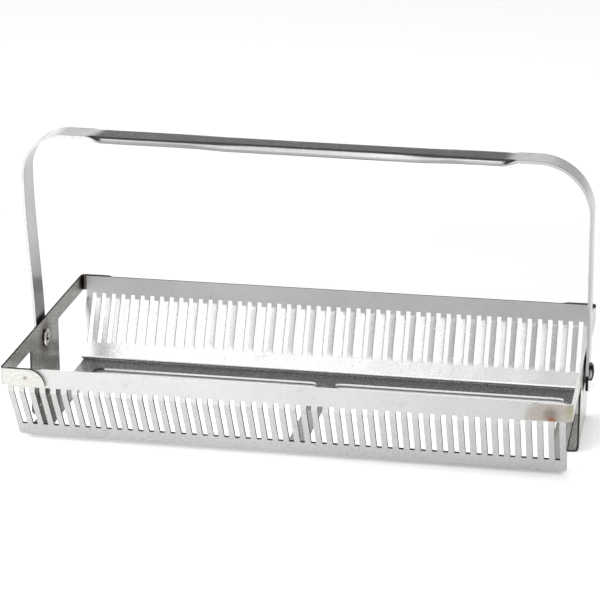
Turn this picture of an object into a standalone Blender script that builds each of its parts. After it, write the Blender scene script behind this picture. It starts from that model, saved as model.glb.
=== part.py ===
"""Microscope slide staining rack: a slotted sheet tray, two T-shaped end plates and a riveted strap bail.

Frame: X along the tray, Y across it, Z up. The origin is on the surface the rack stands on, under the middle
of the tray. Every sheet piece is made the way the real one is: a flat blank with its holes, folded, and then
given its thickness.
"""
import math

import bmesh
import bpy
from mathutils import Matrix, Vector

MM = 0.001

# Stock and clearances
SHEET = 0.6 * MM                # thickness of the tray and the end plates
STRAP = 0.8 * MM                # thickness of the handle
WELD_GAP = 0.3 * MM             # between faces that the real rack holds together with spot welds
RIVET_GAP = 0.1 * MM            # between the faces that the rivets hold together
BEND_RADIUS = 1.2 * MM          # of the sheet folds, at mid thickness
FLOOR_BEND = 2.2 * MM           # of the wider folds along the tray's floor

# Tray
SLOT_COUNT = 50
SLOT_PITCH = 3.175 * MM
SLOT_WIDTH = 1.4 * MM
FLOOR_HALF_WIDTH = 33.0 * MM    # to the outer corner line of the fold
WALL_LEAN = math.radians(30.7)  # outwards from upright
WALL_SLANT = 20.8 * MM          # from the floor's outer corner line to the rail's
RAIL_HEIGHT = 6.95 * MM         # upright part above the rail's fold
SLOT_START = 5.7 * MM           # up the slant from the floor's outer corner line
SLOT_OVER_FOLD = 1.4 * MM       # how far the slots run up past the rail's fold
FLOOR_END_SETBACK = 1.45 * MM   # the floor's ends stop short of the walls' ends
OPENING_HALF_WIDTH = 24.8 * MM
OPENING_CORNER = 2.4 * MM
BRIDGE_WIDTH = 5.3 * MM
OPENINGS_LENGTH = 148.0 * MM    # from one end of the pair of floor openings to the other
OPENINGS_SHIFT = 1.0 * MM       # the pair is punched a little off the middle

# End plates
PLATE_FACE_X = 82.2 * MM        # outer face
BAND_HEIGHT = 5.05 * MM
BAND_TOP_OVER_RAIL = 0.1 * MM
TAB_LENGTH = 13.3 * MM          # along the rail, from the plate's outer face
LEG_WIDTH = 29.2 * MM
LEG_CORNER = 0.8 * MM           # fillet between leg and band
FOOT_REACH = 8.2 * MM           # inwards from the plate's outer face
FOOT_CORNER = 1.5 * MM

# Bail handle
STRAP_WIDTH = 9.5 * MM
STRAP_END = 4.7 * MM            # below the pivot
STRAP_END_CORNER = 1.0 * MM
PIVOT_OVER_FLOOR = 18.9 * MM    # above the tray's underside
LEFT_BOW = 2.3 * MM             # how far the left arm leans out at its top
RIGHT_BOW = -0.5 * MM           # the right arm leans in, but still clears the end plate as it swings
LEFT_TOP = 83.6 * MM            # mid thickness of the bar at its left end, above the tray's underside
RIGHT_TOP = 82.5 * MM
LEFT_BEND = 12.5 * MM
RIGHT_BEND = 16.0 * MM
GRIP_START = -66.0 * MM
GRIP_END = 61.5 * MM
GRIP_FADE = 5.0 * MM            # length over which the grip takes its full shape
GRIP_ROLL = 0.4 * MM            # the front edge drops this much more, the back edge this much less
FLANGE_FROM = 3.3 * MM          # the grip's edges turn down this far from the strap's middle line
FLANGE_TURN = math.radians(44)
FLANGE_BEND = 0.9 * MM          # length of strap that the turn takes
DEEP_FROM = 2.7 * MM            # the same along the middle of the grip, where its edges are pressed deeper
DEEP_TURN = math.radians(46)
DEEP_START = -36.0 * MM
DEEP_END = 46.0 * MM
DEEP_FADE = 14.0 * MM

# Rivets and washers
SHANK_RADIUS = 1.5 * MM
HOLE_RADIUS = 1.59 * MM
HEAD_RADIUS = 2.75 * MM
HEAD_HEIGHT = 1.2 * MM
ROLL_RADIUS = 2.65 * MM         # outer radius of the rolled inner end
ROLL_HEIGHT = 0.8 * MM
TUBE_RADIUS = 1.0 * MM          # the hollow in the inner end
TUBE_DEPTH = 1.6 * MM
WASHER_RADIUS = 3.5 * MM
WASHER_THICKNESS = 0.4 * MM

# Worked out from the above
HALF_SHEET = SHEET / 2
HALF_STRAP = STRAP / 2
FLOOR_UNDERSIDE = SHEET + WELD_GAP
PIVOT_Z = FLOOR_UNDERSIDE + PIVOT_OVER_FLOOR
WALL_END_X = (SLOT_COUNT * SLOT_PITCH + SLOT_PITCH - SLOT_WIDTH) / 2
RAIL_OUTER_Y = FLOOR_HALF_WIDTH + WALL_SLANT * math.sin(WALL_LEAN)
RAIL_TOP_Z = FLOOR_UNDERSIDE + WALL_SLANT * math.cos(WALL_LEAN) + RAIL_HEIGHT
BAND_TOP_Z = RAIL_TOP_Z + BAND_TOP_OVER_RAIL
BAND_LOW_Z = BAND_TOP_Z - BAND_HEIGHT
WASHER_FACE_X = PLATE_FACE_X + RIVET_GAP
ARM_MID_X = WASHER_FACE_X + WASHER_THICKNESS + RIVET_GAP + HALF_STRAP
HEAD_FACE_X = ARM_MID_X + HALF_STRAP + RIVET_GAP


# ---------------------------------------------------------------- scene

def clear_scene():
    for item in list(bpy.data.objects):
        bpy.data.objects.remove(item, do_unlink=True)


def new_collection(name):
    collection = bpy.data.collections.new(name)
    bpy.context.scene.collection.children.link(collection)
    return collection


def steel(name, shade, roughness):
    material = bpy.data.materials.new(name)
    material.use_nodes = True
    shader = material.node_tree.nodes["Principled BSDF"]
    shader.inputs["Base Color"].default_value = (shade, shade, shade * 1.01, 1.0)
    shader.inputs["Metallic"].default_value = 1.0
    shader.inputs["Roughness"].default_value = roughness
    return material


# ---------------------------------------------------------------- outlines and folds

def arc(centre, radius, start, end, steps):
    """Points of a circular arc, angles in degrees."""
    points = []
    for i in range(steps + 1):
        angle = math.radians(start + (end - start) * i / steps)
        points.append((centre[0] + radius * math.cos(angle), centre[1] + radius * math.sin(angle)))
    return points


def rounded_rectangle(low, high, radius, steps):
    (x0, y0), (x1, y1) = low, high
    return (arc((x1 - radius, y1 - radius), radius, 0, 90, steps)
            + arc((x0 + radius, y1 - radius), radius, 90, 180, steps)
            + arc((x0 + radius, y0 + radius), radius, 180, 270, steps)
            + arc((x1 - radius, y0 + radius), radius, 270, 360, steps))


def rectangle(low, high):
    return [low, (high[0], low[1]), high, (low[0], high[1])]


def circle(centre, radius, steps):
    return arc(centre, radius, 0, 360, steps)[:-1]


def blank(name, outlines):
    """A flat sheet in the XY plane: the first outline is its edge, the others are its holes."""
    curve = bpy.data.curves.new(name + "_outline", "CURVE")
    curve.dimensions = "2D"
    curve.fill_mode = "BOTH"
    for outline in outlines:
        spline = curve.splines.new("POLY")
        spline.points.add(len(outline) - 1)
        for point, (x, y) in zip(spline.points, outline):
            point.co = (x, y, 0.0, 1.0)
        spline.use_cyclic_u = True
    holder = bpy.data.objects.new(name + "_outline", curve)
    bpy.context.scene.collection.objects.link(holder)
    evaluated = holder.evaluated_get(bpy.context.evaluated_depsgraph_get())
    mesh = bpy.data.meshes.new_from_object(evaluated)
    mesh.name = name
    bpy.data.objects.remove(holder, do_unlink=True)
    bpy.data.curves.remove(curve)
    sheet = bmesh.new()
    sheet.from_mesh(mesh)
    bmesh.ops.remove_doubles(sheet, verts=sheet.verts, dist=0.0001 * MM)
    return mesh, sheet


def crease(sheet, axis, places):
    """Cuts the blank along straight lines, so that it can bend there."""
    normal = Vector((1, 0, 0)) if axis == "X" else Vector((0, 1, 0))
    for place in places:
        everything = sheet.verts[:] + sheet.edges[:] + sheet.faces[:]
        bmesh.ops.bisect_plane(sheet, geom=everything, dist=0.0001 * MM, plane_co=normal * place,
                               plane_no=normal)


def fold(sheet, place):
    for vertex in sheet.verts:
        vertex.co = place(vertex.co.x, vertex.co.y)


def sheet_piece(name, mesh, sheet, thickness, material, collection):
    """Turns the folded blank into a solid."""
    bmesh.ops.recalc_face_normals(sheet, faces=sheet.faces)
    sheet.to_mesh(mesh)
    sheet.free()
    mesh.materials.append(material)
    piece = bpy.data.objects.new(name, mesh)
    collection.objects.link(piece)
    shell = piece.modifiers.new("thickness", "SOLIDIFY")
    shell.thickness = thickness
    shell.offset = 0.0
    shell.use_even_offset = True
    shell.use_quality_normals = True
    return piece


def run_in_section(stretches, distance):
    """The point that lies a distance along a chain of straight stretches and arcs that all turn left.

    A stretch is (length, None) or (angle, radius). The chain starts at 0, 0 along the first axis.
    """
    along, up, heading = 0.0, 0.0, 0.0
    for size, radius in stretches:
        length = size if radius is None else size * radius
        step = min(distance, length)
        if radius is None:
            along += step * math.cos(heading)
            up += step * math.sin(heading)
        else:
            turned = heading + step / radius
            along += radius * (math.sin(turned) - math.sin(heading))
            up += radius * (math.cos(heading) - math.cos(turned))
            heading = turned
        distance -= step
        if distance <= 0:
            return along, up
    return along + distance * math.cos(heading), up + distance * math.sin(heading)


def corner_loss(angle):
    """How much shorter a fold's corner is at mid thickness than at the outer face, on each side."""
    return HALF_SHEET * math.tan(angle / 2)


def tangent(angle, radius=BEND_RADIUS):
    return radius * math.tan(angle / 2)


def steps_between(start, end, steps):
    return [start + (end - start) * i / steps for i in range(steps + 1)]


# ---------------------------------------------------------------- tray

def punch_slots(sheet, low, high):
    """Cuts the slots out of the flat blank, between two distances from its middle line."""
    def slot_zone():
        return [face for face in sheet.faces if low < abs(face.calc_center_median().y) < high]

    half_slot = SLOT_WIDTH / 2
    middles = [(i - (SLOT_COUNT - 1) / 2) * SLOT_PITCH for i in range(SLOT_COUNT)]
    for middle in middles:
        for place in (middle - half_slot, middle + half_slot):
            zone = [face for face in slot_zone() if min(v.co.x for v in face.verts) < place
                    < max(v.co.x for v in face.verts)]
            edges = {edge for face in zone for edge in face.edges}
            bmesh.ops.bisect_plane(sheet, geom=zone + list(edges), dist=0.0001 * MM,
                                   plane_co=Vector((place, 0, 0)), plane_no=Vector((1, 0, 0)))
    punched = [face for face in slot_zone()
               if any(abs(face.calc_center_median().x - middle) < half_slot for middle in middles)]
    bmesh.ops.delete(sheet, geom=punched, context="FACES")


def build_tray(material, collection):
    floor_turn = math.pi / 2 - WALL_LEAN
    rail_turn = WALL_LEAN
    floor_run = FLOOR_HALF_WIDTH - corner_loss(floor_turn) - tangent(floor_turn, FLOOR_BEND)
    wall_run = (WALL_SLANT - corner_loss(floor_turn) - corner_loss(rail_turn)
                - tangent(floor_turn, FLOOR_BEND) - tangent(rail_turn))
    rail_run = RAIL_HEIGHT - corner_loss(rail_turn) - tangent(rail_turn)
    section = [(floor_run, None), (floor_turn, FLOOR_BEND), (wall_run, None), (rail_turn, BEND_RADIUS),
               (rail_run, None)]

    floor_fold = (floor_run, floor_run + floor_turn * FLOOR_BEND)
    rail_fold = (floor_fold[1] + wall_run, floor_fold[1] + wall_run + rail_turn * BEND_RADIUS)
    edge = rail_fold[1] + rail_run
    slot_low = floor_fold[1] + SLOT_START - corner_loss(floor_turn) - tangent(floor_turn, FLOOR_BEND)
    slot_high = rail_fold[1] + SLOT_OVER_FOLD - corner_loss(rail_turn) - tangent(rail_turn)

    floor_end = WALL_END_X - FLOOR_END_SETBACK
    fold_middle = sum(floor_fold) / 2
    corner = arc((floor_end, fold_middle + FLOOR_END_SETBACK), FLOOR_END_SETBACK, -90, 0, 4)
    quarter = corner + [(WALL_END_X, edge)]
    outline = (quarter + [(-x, y) for x, y in reversed(quarter)]
               + [(-x, -y) for x, y in quarter] + [(x, -y) for x, y in reversed(quarter)])

    # The walls come from a plain blank; the floor, with its two openings, is laid in between its folds.
    mesh, sheet = blank("tray", [outline])
    bmesh.ops.dissolve_faces(sheet, faces=sheet.faces)
    for side in (-1, 1):
        places = (steps_between(*floor_fold, 5) + steps_between(*rail_fold, 3) + [slot_low, slot_high])
        crease(sheet, "Y", [side * place for place in places])
    punch_slots(sheet, slot_low, slot_high)
    bmesh.ops.delete(sheet, geom=[face for face in sheet.faces
                                  if abs(face.calc_center_median().y) < floor_run / 2],
                     context="FACES_ONLY")
    openings = []
    half_length, half_bridge = OPENINGS_LENGTH / 2, BRIDGE_WIDTH / 2
    for start, end in ((-half_length, -half_bridge), (half_bridge, half_length)):
        openings.append(rounded_rectangle((start + OPENINGS_SHIFT, -OPENING_HALF_WIDTH),
                                          (end + OPENINGS_SHIFT, OPENING_HALF_WIDTH), OPENING_CORNER, 4))
    floor_mesh, floor = blank("tray_floor", [rectangle((-floor_end, -floor_run), (floor_end, floor_run))]
                              + openings)
    floor.to_mesh(floor_mesh)
    floor.free()
    sheet.from_mesh(floor_mesh)
    bpy.data.meshes.remove(floor_mesh)
    bmesh.ops.remove_doubles(sheet, verts=sheet.verts, dist=0.001 * MM)

    def place(x, y):
        along, up = run_in_section(section, abs(y))
        return Vector((x, math.copysign(along, y), FLOOR_UNDERSIDE + HALF_SHEET + up))

    fold(sheet, place)
    return sheet_piece("tray", mesh, sheet, SHEET, material, collection)


# ---------------------------------------------------------------- end plates

def build_end_plate(name, side, material, collection):
    """side is -1 for the left plate and 1 for the right one."""
    right_angle = math.pi / 2
    reach = PLATE_FACE_X - HALF_SHEET
    tab_y = RAIL_OUTER_Y + WELD_GAP + HALF_SHEET
    band_run = tab_y - BEND_RADIUS
    tab_run = TAB_LENGTH - HALF_SHEET - BEND_RADIUS
    band_section = [(band_run, None), (right_angle, BEND_RADIUS), (tab_run, None)]
    band_end = band_run + right_angle * BEND_RADIUS + tab_run
    tab_fold = (band_run, band_run + right_angle * BEND_RADIUS)

    leg_run = BAND_TOP_Z - HALF_SHEET - BEND_RADIUS
    foot_run = FOOT_REACH - HALF_SHEET - BEND_RADIUS
    leg_section = [(leg_run, None), (right_angle, BEND_RADIUS), (foot_run, None)]
    foot_fold = (leg_run, leg_run + right_angle * BEND_RADIUS)
    foot_end = foot_fold[1] + foot_run

    # The blank's X is the run along the band and its Y is the run down from the band's top edge, negative.
    half_leg = LEG_WIDTH / 2
    half = ([(0.0, 0.0)]
            + arc((band_end - BAND_HEIGHT, -BAND_HEIGHT), BAND_HEIGHT, 90, 0, 8)
            + arc((half_leg + LEG_CORNER, -BAND_HEIGHT - LEG_CORNER), LEG_CORNER, 90, 180, 3)
            + arc((half_leg - FOOT_CORNER, -foot_end + FOOT_CORNER), FOOT_CORNER, 0, -90, 4))
    outline = half + [(-x, y) for x, y in reversed(half[1:])]
    hole = circle((0.0, PIVOT_Z - BAND_TOP_Z), HOLE_RADIUS, 24)

    mesh, sheet = blank(name, [outline, hole])
    for way in (-1, 1):
        crease(sheet, "X", [way * place for place in steps_between(*tab_fold, 5)])
    crease(sheet, "Y", [-place for place in steps_between(*foot_fold, 5)])

    def place(x, y):
        across, inward = run_in_section(band_section, abs(x))
        down, under = run_in_section(leg_section, -y)
        return Vector((side * (reach - inward - under), math.copysign(across, x), BAND_TOP_Z - down))

    fold(sheet, place)
    return sheet_piece(name, mesh, sheet, SHEET, material, collection)


# ---------------------------------------------------------------- bail handle

def ease(value):
    value = min(max(value, 0.0), 1.0)
    return value * value * (3.0 - 2.0 * value)


def arm_path(bow, bend_z, steps):
    """Distance of an arm from the middle plane and its height, from its end up to its bend."""
    low = PIVOT_Z - STRAP_END
    path = []
    for i in range(steps + 1):
        height = low + (bend_z - low) * i / steps
        path.append((ARM_MID_X + bow * ease((height - PIVOT_Z) / (bend_z - PIVOT_Z)), height))
    return path


def bail_path():
    """Mid thickness of the strap in the XZ plane, from the left arm's end over the bar to the right one's."""
    left_z, right_z = FLOOR_UNDERSIDE + LEFT_TOP, FLOOR_UNDERSIDE + RIGHT_TOP
    left_x, right_x = ARM_MID_X + LEFT_BOW, ARM_MID_X + RIGHT_BOW
    left_arm = [(-x, z) for x, z in arm_path(LEFT_BOW, left_z - LEFT_BEND, 6)]
    right_arm = arm_path(RIGHT_BOW, right_z - RIGHT_BEND, 6)[::-1]
    left_bend = arc((-left_x + LEFT_BEND, left_z - LEFT_BEND), LEFT_BEND, 180, 90, 9)[1:]
    right_bend = arc((right_x - RIGHT_BEND, right_z - RIGHT_BEND), RIGHT_BEND, 90, 0, 9)[:-1]
    bar_start, bar_end = left_bend[-1], right_bend[0]
    bar = []
    for x in (steps_between(GRIP_START, GRIP_START + GRIP_FADE, 3)
              + steps_between(DEEP_START, DEEP_START + DEEP_FADE, 3)
              + steps_between(DEEP_END - DEEP_FADE, DEEP_END, 3)
              + steps_between(GRIP_END - GRIP_FADE, GRIP_END, 3)):
        share = (x - bar_start[0]) / (bar_end[0] - bar_start[0])
        bar.append((x, bar_start[1] + share * (bar_end[1] - bar_start[1])))
    return left_arm + left_bend + bar + right_bend + right_arm


def grip_section(x, across):
    """Where the press puts a point of the grip, sideways and down; across is its run from the middle line."""
    pressed = min(ease((x - GRIP_START) / GRIP_FADE), ease((GRIP_END - x) / GRIP_FADE))
    deep = ease((x - DEEP_START) / DEEP_FADE) * ease((DEEP_END - x) / DEEP_FADE)
    bend = FLANGE_FROM + deep * (DEEP_FROM - FLANGE_FROM)
    turn = pressed * (FLANGE_TURN + deep * (DEEP_TURN - FLANGE_TURN))
    sideways, down, steps = 0.0, 0.0, 40
    for i in range(steps):
        run = abs(across) * (i + 0.5) / steps
        heading = turn * ease((run - bend) / FLANGE_BEND + 0.5)
        sideways += abs(across) / steps * math.cos(heading)
        down += abs(across) / steps * math.sin(heading)
    return math.copysign(sideways, across), down - pressed * GRIP_ROLL * across / (STRAP_WIDTH / 2)


def build_handle(material, collection):
    path = [Vector((x, 0.0, z)) for x, z in bail_path()]
    runs = [0.0]
    for start, end in zip(path, path[1:]):
        runs.append(runs[-1] + (end - start).length)
    total = runs[-1]

    half_width = STRAP_WIDTH / 2
    outline = rounded_rectangle((0.0, -half_width), (total, half_width), STRAP_END_CORNER, 3)
    holes = [circle((run, 0.0), HOLE_RADIUS, 24) for run in (STRAP_END, total - STRAP_END)]
    mesh, sheet = blank("handle", [outline] + holes)
    crease(sheet, "X", runs[1:-1])
    flange = steps_between(DEEP_FROM - FLANGE_BEND / 2, FLANGE_FROM + FLANGE_BEND / 2, 5)
    crease(sheet, "Y", [0.0] + [way * place for place in flange for way in (-1, 1)])

    def place(x, y):
        k = 0
        while k < len(path) - 2 and x > runs[k + 1]:
            k += 1
        share = (x - runs[k]) / (runs[k + 1] - runs[k])
        point = path[k].lerp(path[k + 1], share)
        sideways, down = grip_section(point.x, y)
        return Vector((point.x, sideways, point.z - down))

    fold(sheet, place)
    handle = sheet_piece("handle", mesh, sheet, STRAP, material, collection)
    pivot = Vector((0.0, 0.0, PIVOT_Z))
    mesh.transform(Matrix.Translation(-pivot))
    handle.location = pivot
    return handle


# ---------------------------------------------------------------- rivets and washers

def turned_piece(name, profile, closed, side, material, collection, steps=24):
    """Turns a profile of (radius, distance from the middle plane) points round the pivot axis."""
    mesh = bpy.data.meshes.new(name)
    turned = bmesh.new()
    points = [turned.verts.new((radius, 0.0, distance)) for radius, distance in profile]
    for start, end in zip(points, points[1:]):
        turned.edges.new((start, end))
    if closed:
        turned.edges.new((points[-1], points[0]))
    turned.to_mesh(mesh)
    turned.free()
    mesh.materials.append(material)
    piece = bpy.data.objects.new(name, mesh)
    collection.objects.link(piece)
    lathe = piece.modifiers.new("lathe", "SCREW")
    lathe.steps = steps
    lathe.render_steps = steps
    lathe.use_merge_vertices = True
    lathe.merge_threshold = 0.001 * MM
    piece.rotation_euler = (0.0, side * math.pi / 2, 0.0)
    piece.location = (0.0, 0.0, PIVOT_Z)
    return piece


def build_rivet(name, side, material, collection):
    roll_face = PLATE_FACE_X - SHEET - RIVET_GAP
    end = roll_face - ROLL_HEIGHT
    dome = [(HEAD_RADIUS * math.sin(math.radians(a)), HEAD_FACE_X + 0.25 * HEAD_HEIGHT
             + 0.75 * HEAD_HEIGHT * math.cos(math.radians(a))) for a in range(0, 91, 15)]
    lip = ROLL_RADIUS - TUBE_RADIUS
    roll = [(TUBE_RADIUS + lip / 2 + lip / 2 * math.cos(math.radians(a)),
             roll_face - ROLL_HEIGHT / 2 - ROLL_HEIGHT / 2 * math.sin(math.radians(a)))
            for a in range(0, 181, 30)]
    profile = (dome + [(HEAD_RADIUS, HEAD_FACE_X), (SHANK_RADIUS, HEAD_FACE_X), (SHANK_RADIUS, roll_face),
                       (ROLL_RADIUS - 0.15 * MM, roll_face)]
               + roll + [(TUBE_RADIUS, end + TUBE_DEPTH), (0.0, end + TUBE_DEPTH)])
    return turned_piece(name, profile, False, side, material, collection)


def build_washer(name, side, material, collection):
    inner, outer = WASHER_FACE_X, WASHER_FACE_X + WASHER_THICKNESS
    profile = [(WASHER_RADIUS, outer), (WASHER_RADIUS, inner), (HOLE_RADIUS, inner), (HOLE_RADIUS, outer)]
    return turned_piece(name, profile, True, side, material, collection)


# ---------------------------------------------------------------- the rack

def main():
    clear_scene()
    rack = new_collection("slide_staining_rack")
    build_tray(steel("tray_steel", 0.72, 0.28), rack)
    handle = build_handle(steel("strap_steel", 0.66, 0.32), rack)
    for word, side in (("left", -1), ("right", 1)):
        build_end_plate("end_plate_" + word, side, steel("plate_steel_" + word, 0.68, 0.30), rack)
        rivet = build_rivet("rivet_" + word, side, steel("rivet_steel_" + word, 0.70, 0.22), rack)
        washer = build_washer("washer_" + word, side, steel("washer_steel_" + word, 0.62, 0.35), rack)
        for round_piece in (rivet, washer):
            round_piece.data.shade_smooth()
            round_piece.data.set_sharp_from_angle(angle=math.radians(35))
    handle.data.shade_smooth()
    handle.data.set_sharp_from_angle(angle=math.radians(35))


main()
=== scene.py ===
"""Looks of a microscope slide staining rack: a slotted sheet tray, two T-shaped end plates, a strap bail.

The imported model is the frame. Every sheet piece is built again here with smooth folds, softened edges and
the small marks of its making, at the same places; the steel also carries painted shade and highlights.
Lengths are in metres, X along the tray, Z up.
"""
import math

import bmesh
import bpy
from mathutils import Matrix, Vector


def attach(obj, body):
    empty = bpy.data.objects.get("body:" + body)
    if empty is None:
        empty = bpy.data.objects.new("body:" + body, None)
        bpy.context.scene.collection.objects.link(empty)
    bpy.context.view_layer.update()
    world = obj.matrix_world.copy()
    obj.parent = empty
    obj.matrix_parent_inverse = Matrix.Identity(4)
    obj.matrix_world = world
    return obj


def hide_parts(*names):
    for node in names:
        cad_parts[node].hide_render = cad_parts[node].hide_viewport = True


MM = 0.001

# Stock
SHEET = 0.6 * MM
STRAP = 0.8 * MM
HALF_SHEET = SHEET / 2
EDGE_ROUNDING = 0.06 * MM
TURNED_ROUNDING = 0.05 * MM
SHARP_ANGLE = math.radians(40)  # sharper corners are rounded
BEND_RADIUS = 1.2 * MM
FLOOR_BEND = 2.2 * MM
GAP = 0.3 * MM                  # between the welded sheets

# Tray
SLOT_COUNT = 50
SLOT_PITCH = 3.175 * MM
SLOT_WIDTH = 1.4 * MM
FLOOR_UNDERSIDE = 0.9 * MM
FLOOR_HALF_WIDTH = 33.0 * MM
WALL_LEAN = math.radians(30.7)
WALL_SLANT = 20.8 * MM
RAIL_HEIGHT = 6.95 * MM
SLOT_START = 5.7 * MM
SLOT_OVER_FOLD = 1.4 * MM
FLOOR_END_SETBACK = 1.45 * MM
OPENING_HALF_WIDTH = 24.8 * MM
OPENING_CORNER = 2.4 * MM
BRIDGE_WIDTH = 5.3 * MM
OPENINGS_LENGTH = 148.0 * MM
OPENINGS_SHIFT = 1.0 * MM
BAR_TWIST = 0.03 * MM           # how far a bar's edges stand out of the wall, one way and the other
TWIST_START = 80.0 * MM         # the bars are straight at the left end and twist more and more from there
TWIST_FADE = 60.0 * MM
TWIST_INSET = 1.6 * MM          # the bars are straight this close to a slot's ends
ROLL_OVER = 0.055 * MM          # how far the punch drew down the right edge of every bar
ROLL_OVER_WIDTH = 0.30 * MM
RAIL_OUTER_Y = FLOOR_HALF_WIDTH + WALL_SLANT * math.sin(WALL_LEAN)
RAIL_TOP_Z = FLOOR_UNDERSIDE + WALL_SLANT * math.cos(WALL_LEAN) + RAIL_HEIGHT
RAIL_MATT_LIGHTER_ABOVE = 18.4 * MM     # the rails are rougher and painted lighter from here up
HIGHLIGHT_FROM_X = -70.0 * MM     # painted highlight on the rail's and the openings' cut edges from here to the right
HIGHLIGHT_RAIL_DEPTH = 0.1 * MM
HIGHLIGHT_OPENING_DEPTH = 0.5 * MM
MARGIN = 1.0 * MM               # how far a box of the materials reaches into the empty space beside a piece
OUTSIDE_X = 90.0 * MM           # past every piece
OUTSIDE_Y = 46.0 * MM

# End plates
PLATE_FACE_X = 82.2 * MM
BAND_HEIGHT = 5.05 * MM
TAB_LENGTH = 13.3 * MM
LEG_WIDTH = 29.2 * MM
LEG_CORNER = 0.8 * MM
FOOT_REACH = 8.2 * MM
FOOT_CORNER = 1.5 * MM
WELD_FROM_FACE = 7.2 * MM       # middle of the tab's weld mark, from the plate's outer face
WELD_BELOW_TOP = 2.6 * MM
WELD_RADIUS = 1.3 * MM
WELD_DEPTH = 0.12 * MM
WELD_WINDOW = 1.5 * WELD_RADIUS  # half width of the fine grid that the mark is pressed into
WELD_NEAR = 1.6 * WELD_RADIUS
WELD_GRID_STEPS = 12
TAB_Y = RAIL_OUTER_Y + GAP + HALF_SHEET  # to the middle of its thickness
TAB_FACE_Y = TAB_Y + HALF_SHEET
BAND_OVER_RAIL = 0.1 * MM
BAND_TOP_Z = RAIL_TOP_Z + BAND_OVER_RAIL
# Painted highlight on the right plate's cut edges in this box.
HIGHLIGHT_PLATE = ((60.0 * MM, -OUTSIDE_Y, 20.3 * MM), (OUTSIDE_X, 40.0 * MM, 40.0 * MM))
HEAT_PINK = (0.36, 0.29, 0.25)  # stains that the welding left; the brown is also painted shade round the rivets and in a corner
HEAT_BROWN_AND_SHADE = (0.09, 0.065, 0.05)
HEAT_GREEN = (0.30, 0.31, 0.17)
RUST = (0.30, 0.10, 0.06)
ARM_SHADE = (0.17, 0.16, 0.155)  # painted shade on the left arm's inner face, darker than the rest of the strap

# Handle
PIVOT_Z = 19.8 * MM
ARM_MID_X = 83.2 * MM
STRAP_WIDTH = 9.5 * MM
STRAP_END = 4.7 * MM
STRAP_END_CORNER = 1.0 * MM
SHADE_TOP_Z = 26.4 * MM         # painted shade in the gap between the arms and the plates reaches up to here
PLATE_SHADE_DEPTH = 0.2 * MM
STRAP_SHADE_DEPTH = 0.25 * MM
ARM_SHADE_Z = SHADE_TOP_Z + 8 * MM  # middle of the arm's painted shade
ARM_SHADE_RADIUS = 14.0 * MM
LEFT_BOW = 2.3 * MM
RIGHT_BOW = -0.5 * MM
LEFT_TOP_Z = 84.5 * MM
RIGHT_TOP_Z = 83.4 * MM
LEFT_BEND = 12.5 * MM
RIGHT_BEND = 16.0 * MM
GRIP_START = -66.0 * MM
GRIP_END = 61.5 * MM
GRIP_FADE = 5.0 * MM
GRIP_ROLL = 0.385 * MM          # the front edge drops this much more, the back edge this much less
FLANGE_FROM = 3.3 * MM          # the grip's edges turn down this far from the strap's middle line
FLANGE_TURN = math.radians(44)
FLANGE_BEND = 0.9 * MM
DEEP_FROM = 2.7 * MM            # the same along the middle of the grip, where its edges are pressed deeper
DEEP_TURN = math.radians(46)
DEEP_START = -36.0 * MM
DEEP_END = 46.0 * MM
DEEP_FADE = 14.0 * MM
SECTION_STEPS = 40              # for adding up the curved section of the grip

# Rivets and washers
HOLE_RADIUS = 1.59 * MM
SHANK_RADIUS = 1.5 * MM
HEAD_RADIUS = 2.75 * MM
HEAD_HEIGHT = 1.2 * MM
HEAD_FACE_X = 83.7 * MM
ROLL_RADIUS = 2.65 * MM
ROLL_HEIGHT = 0.8 * MM
ROLL_CORNER = 0.15 * MM
ROLL_FACE_X = 81.5 * MM
TUBE_RADIUS = 1.0 * MM
TUBE_DEPTH = 1.6 * MM
DOME_SHARE = 0.75               # of the head's height; the rest is its straight rim
DARK_HOLLOW = 0.85 * MM         # half width of the painted shade in the hollow of the rolled end
DARK_CROWN = 0.80 * HEAD_RADIUS  # half width of the painted shade on the head
TURN_STEPS = 48
WASHER_RADIUS = 3.5 * MM
WASHER_FACE_X = 82.3 * MM
WASHER_THICKNESS = 0.4 * MM

# Camera
CAMERA_AT = Vector((124.64, -682.99, 270.55)) * MM
CAMERA_TARGET = Vector((-2.71, 0.0, 36.57)) * MM
CAMERA_LENS = 148.2
CAMERA_SENSOR = 36.0

# Steel surface: how much each piece's rolling lines are stretched, and scales of noise per metre
TRAY_GRAIN = (0.05, 1.0, 1.0)
PLATE_GRAIN = (1.0, 0.05, 1.0)
STRAP_GRAIN = (1.0, 0.06, 1.0)
EVEN = (1.0, 1.0, 1.0)
LINES_SCALE = 2600.0
SPECKLE_SCALE = 3000.0
TEAR_SCALE = 3200.0
STAIN_RIM_SCALE = 600.0
SPOTS_SCALE = 420.0
DENTS_SCALE = 95.0
SMUDGES_SCALE = 70.0

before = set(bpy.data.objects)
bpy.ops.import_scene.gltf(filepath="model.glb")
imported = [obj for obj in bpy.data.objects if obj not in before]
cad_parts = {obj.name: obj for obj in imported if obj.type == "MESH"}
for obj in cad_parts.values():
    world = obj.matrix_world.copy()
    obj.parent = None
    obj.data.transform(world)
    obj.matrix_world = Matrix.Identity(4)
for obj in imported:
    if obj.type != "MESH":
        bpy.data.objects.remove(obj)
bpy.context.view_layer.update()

# Studio light, by direction: the ranges are of the unit direction's parts
DARK_LIGHT = 0.14
BEHIND = (-0.30, 0.05)
SWEEP_LEFT = 1.60
SWEEP_RIGHT = 1.10
SWEEP_SIDES = (-0.40, -0.28)
SWEEP_FAR_RIGHT = (0.0, 0.20)
SWEEP_FAR_SHARE = 0.66          # of its light, at the far right
SWEEP_TOP = (0.335, 0.385)
ROOM_LIGHT = 1.05
ROOM_TOP = (0.30, 0.42)
SOFTBOX_LIGHT = 2.5
SOFTBOX_FRONT = (-0.30, -0.05)
SOFTBOX_LOW = (0.46, 0.54)
SOFTBOX_HIGH = (0.72, 0.80)
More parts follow.
